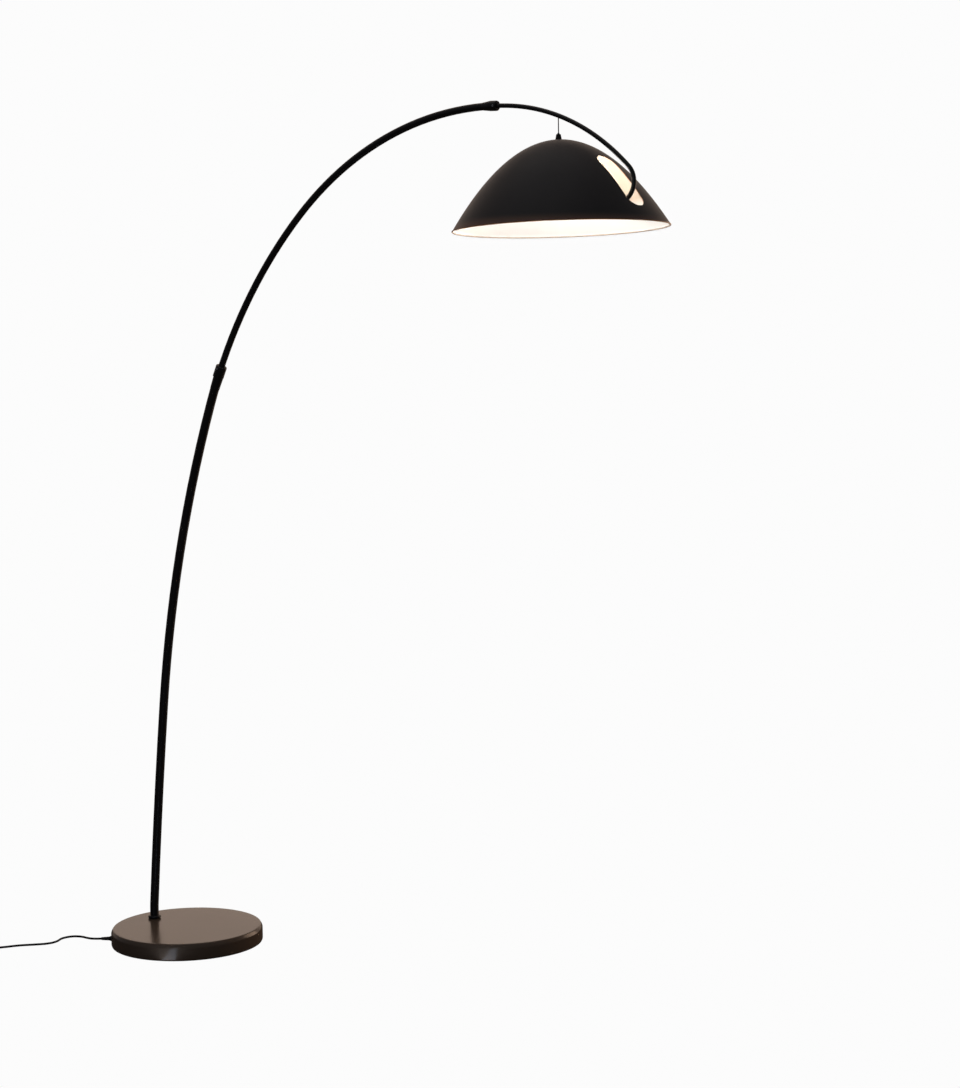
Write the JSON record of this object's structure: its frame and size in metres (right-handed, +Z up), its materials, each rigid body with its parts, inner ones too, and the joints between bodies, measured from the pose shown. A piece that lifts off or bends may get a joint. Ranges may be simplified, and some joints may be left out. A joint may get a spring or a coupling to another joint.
{
  "type": "arc floor lamp",
  "caption": "Arc floor lamp: weighted round base, three-part curved tube arm that hooks into a slotted dome shade hung on a steel wire, with cord, foot switch and plug.",
  "frame": {"origin": "middle of the round base, on the floor", "axes": "+Z up; +X the way the arm reaches, from the base towards the shade; the arm lies in the XZ plane"},
  "size_m": [1.777, 0.702, 1.85],
  "materials": {
    "base_paint": "satin, warm black-brown powder coat with a soft gloss",
    "arm_paint": "satin black",
    "shade_paint": "spun sheet, painted matt black outside and white inside",
    "iron": "as cast",
    "steel": "zinc plated",
    "wire_steel": "stranded",
    "brass": "plain",
    "nickel": "nickel plated",
    "foam": "closed-cell foam",
    "black_plastic": "fine moulded texture",
    "gloss_black": "polished",
    "white_insulator": "glazed",
    "cord_pvc": "soft black jacket",
    "bulb_glass": "opal"
  },
  "bodies": {
    "stand": {"base_cover": "base_paint", "base_weight": "iron", "base_plate": "steel", "base_pad": "foam", "base_plate_screws": "steel", "foot_collar": "arm_paint", "tube_insert": "steel", "hollow_stud": "steel", "foot_washer": "steel", "foot_nut": "steel", "cord_gland": "black_plastic", "gland_nut": "black_plastic", "terminal_block": "white_insulator", "cord_tail": "cord_pvc", "inner_cable": "cord_pvc", "lower_tube": "arm_paint", "lower_coupling": "arm_paint", "middle_tube": "arm_paint", "upper_coupling": "arm_paint", "upper_tube": "arm_paint", "coupling_screws": "steel", "tip_nipple": "steel", "holder_cap": "gloss_black", "holder_skirt": "gloss_black", "holder_core": "white_insulator", "thread_shell": "brass", "centre_contact": "brass", "bulb_cap": "nickel", "bulb_contact": "brass", "bulb_globe": "bulb_glass", "cord_lead": "cord_pvc", "switch_base": "black_plastic", "switch_cover": "black_plastic", "switch_screws": "steel", "switch_block": "white_insulator", "button_spring": "steel", "switch_bushes": "cord_pvc", "cord_supply": "cord_pvc", "cord_coil": "cord_pvc", "coil_tie": "black_plastic", "cord_end": "cord_pvc", "plug_relief": "cord_pvc", "plug_body": "black_plastic", "plug_pins": "nickel"},
    "ball_ring": {"ball_ring": "steel"},
    "wire": {"wire_ball": "wire_steel", "suspension_wire": "wire_steel", "wire_end_stop": "steel"},
    "shade": {"shade": "shade_paint", "shade_washer": "steel", "shade_nut": "steel", "grip_body": "black_plastic", "grip_balls": "steel", "grip_spring": "steel"},
    "plunger": {"release_plunger": "black_plastic"},
    "button": {"foot_button": "gloss_black"}
  },
  "joints": [
    {"name": "shade_swing_side", "type": "hinge", "parent": "stand", "child": "ball_ring", "pos_m": [1.12112, 0, 1.80435], "axis": [1, 0, 0], "range_deg": [-4, 4]},
    {"name": "shade_swing_along", "type": "hinge", "parent": "ball_ring", "child": "wire", "pos_m": [1.12112, 0, 1.80435], "axis": [0, 1, 0], "range_deg": [-5, 5]},
    {"name": "shade_height", "type": "slide", "parent": "wire", "child": "shade", "axis": [0, 0, 1], "range_m": [-0.03, 0.01]},
    {"name": "grip_release", "type": "slide", "parent": "shade", "child": "plunger", "axis": [-0.0227, 0, 0.9997], "range_m": [-0.0012, 0], "stiffness_N_per_m": 900, "springref_m": 0.0005},
    {"name": "foot_button_press", "type": "slide", "parent": "stand", "child": "button", "axis": [0, 0, 1], "range_m": [-0.003, 0], "stiffness_N_per_m": 1200, "springref_m": 0.0008, "deforming": ["button_spring"]}
  ]
}
